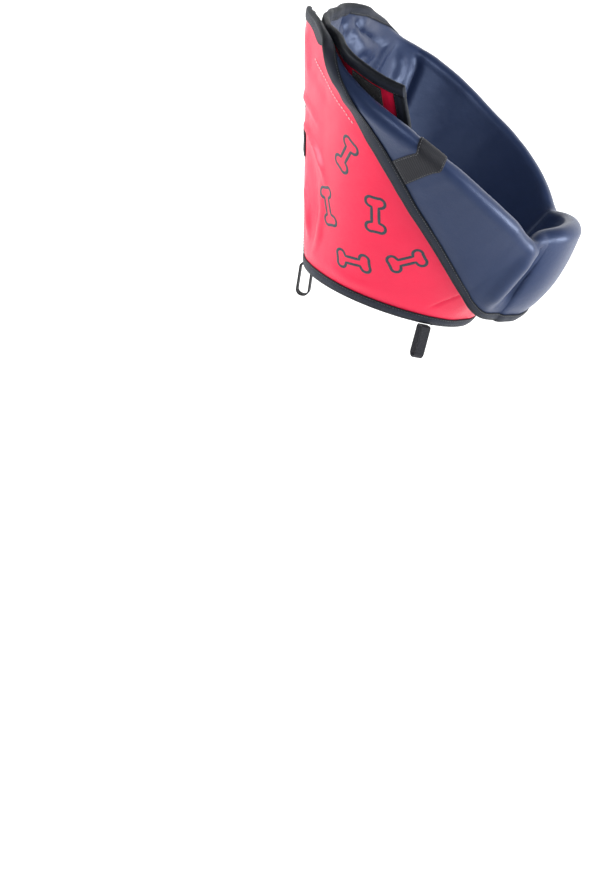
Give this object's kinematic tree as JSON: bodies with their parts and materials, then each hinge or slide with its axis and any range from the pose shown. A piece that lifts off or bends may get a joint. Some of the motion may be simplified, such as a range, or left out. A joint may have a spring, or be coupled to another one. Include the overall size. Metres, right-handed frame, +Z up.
{
  "type": "elizabethan collar",
  "caption": "Soft padded recovery cone for a large dog: a flared wrap of cloth round the neck, its rim folded back as a dark cuff, with edge binding, closure strips and webbing loops.",
  "frame": {"origin": "centre of the neck opening, on the plane of the hem", "axes": "+X forward, the way the dog looks; +Y to the dog's left; +Z up. The neck's axis leans 19 degrees forward of +Z."},
  "size_m": [0.3248, 0.3944, 0.3869],
  "materials": {
    "cover": "smooth red nylon with a soft sheen, printed in dark ink",
    "lining": "smooth navy nylon with a soft sheen",
    "binding": "black woven edge tape, matte",
    "hook_and_loop": "black hook and loop tape, matte pile",
    "webbing": "black ribbed webbing, matte"
  },
  "bodies": {
    "root": {"outer_cover": "cover", "lining": "lining", "rim_binding": "binding", "neck_binding": "binding", "over_end_binding": "binding", "under_end_binding": "binding", "hook_strip": "hook_and_loop", "pile_strip": "hook_and_loop", "spare_pile_strip": "hook_and_loop", "cuff_band": "webbing", "pull_tab": "webbing", "collar_loop_near": "webbing", "collar_loop_far": "webbing", "collar_loop_back": "webbing"}
  },
  "joints": []
}
